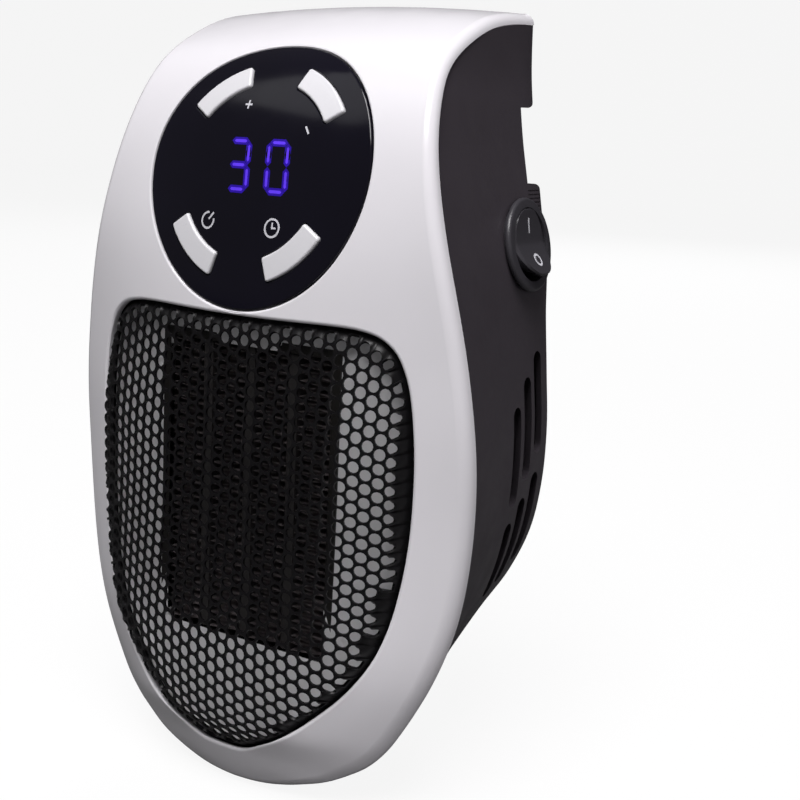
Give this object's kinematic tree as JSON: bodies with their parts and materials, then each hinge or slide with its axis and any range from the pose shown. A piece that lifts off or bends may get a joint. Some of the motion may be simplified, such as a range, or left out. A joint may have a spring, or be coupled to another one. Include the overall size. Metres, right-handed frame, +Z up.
{
  "type": "plug-in ceramic fan heater",
  "caption": "Small ceramic fan heater that plugs straight into a wall socket, with a domed perforated outlet, a round control lens with arc keys, a side rocker switch and a turning plug.",
  "frame": {"origin": "centre of the plug's flat face, where it meets the wall socket", "axes": "+Y into the wall along the plug pins, +Z up, +X to the right seen from the front, front faces -Y"},
  "size_m": [0.1058, 0.0848, 0.1745],
  "materials": {
    "white_gloss": "gloss",
    "lens_black": "polished",
    "key_white": "satin",
    "charcoal": "satin",
    "switch_black": "satin",
    "grille_black": "satin",
    "pale_grey": "satin",
    "mica": "matte",
    "aluminium": "bare",
    "ceramic": "matte",
    "board_green": "satin",
    "component_black": "satin",
    "relay_blue": "satin",
    "capacitor_yellow": "satin",
    "brass": "bare",
    "steel": "zinc plated",
    "copper": "bare",
    "fan_grey": "satin"
  },
  "bodies": {
    "body": {"front_shell": "white_gloss", "control_lens": "lens_black", "display_board": "board_green", "display_module": "component_black", "outlet_grille": "grille_black", "outlet_duct": "pale_grey", "element_frame": "mica", "thermal_cutout": "steel", "thermal_fuse": "pale_grey", "fan_shroud": "component_black", "fan_motor": "steel", "rear_housing": "charcoal", "contact_carrier": "pale_grey", "switch_body": "switch_black", "power_board": "board_green", "relay": "relay_blue", "capacitor": "capacitor_yellow", "key_switch_up": "component_black", "key_switch_down": "component_black", "key_switch_power": "component_black", "key_switch_timer": "component_black", "heater_fins_1": "aluminium", "housing_screw_1": "steel", "heater_fins_2": "aluminium", "housing_screw_2": "steel", "heater_fins_3": "aluminium", "housing_screw_3": "steel", "heater_fins_4": "aluminium", "housing_screw_4": "steel", "ceramic_bar_1": "ceramic", "ceramic_bar_2": "ceramic", "ceramic_bar_3": "ceramic", "fan_screw_1": "steel", "contact_track_1": "brass", "carrier_screw_1": "steel", "switch_terminal_1": "brass", "board_screw_1": "steel", "fan_screw_2": "steel", "contact_track_2": "brass", "carrier_screw_2": "steel", "switch_terminal_2": "brass", "board_screw_2": "steel"},
    "fan": {"fan_wheel": "fan_grey"},
    "rocker": {"switch_rocker": "switch_black"},
    "plug": {"plug_disc": "charcoal", "plug_retainer": "component_black", "plug_pin_1": "brass", "plug_pin_2": "brass", "contact_leaf_1": "copper", "contact_leaf_2": "copper", "retainer_screw_1": "steel", "retainer_screw_2": "steel"},
    "key_up": {"key_up": "key_white"},
    "key_down": {"key_down": "key_white"},
    "key_power": {"key_power": "key_white"},
    "key_timer": {"key_timer": "key_white"}
  },
  "joints": [
    {"name": "plug_turn", "type": "hinge", "parent": "body", "child": "plug", "pos_m": [0, 0, 0], "axis": [0, 1, 0], "range_deg": [-90, 90]},
    {"name": "power_rocker", "type": "hinge", "parent": "body", "child": "rocker", "pos_m": [0.04407, -0.01537, -0.02137], "axis": [-0.0232, 0.9997, 0], "range_deg": [0, 20]},
    {"name": "fan_spin", "type": "hinge", "parent": "body", "child": "fan", "pos_m": [0, -0.03385, -0.07821], "axis": [0, 1, 0], "continuous": true},
    {"name": "press_up", "type": "slide", "parent": "body", "child": "key_up", "axis": [0, 0.9577, -0.2878], "range_m": [0, 0.0005], "stiffness_N_per_m": 1000, "springref_m": -0.0002},
    {"name": "press_down", "type": "slide", "parent": "body", "child": "key_down", "axis": [0, 0.9577, -0.2878], "range_m": [0, 0.0005], "stiffness_N_per_m": 1000, "springref_m": -0.0002},
    {"name": "press_power", "type": "slide", "parent": "body", "child": "key_power", "axis": [0, 0.9577, -0.2878], "range_m": [0, 0.0005], "stiffness_N_per_m": 1000, "springref_m": -0.0002},
    {"name": "press_timer", "type": "slide", "parent": "body", "child": "key_timer", "axis": [0, 0.9577, -0.2878], "range_m": [0, 0.0005], "stiffness_N_per_m": 1000, "springref_m": -0.0002}
  ]
}
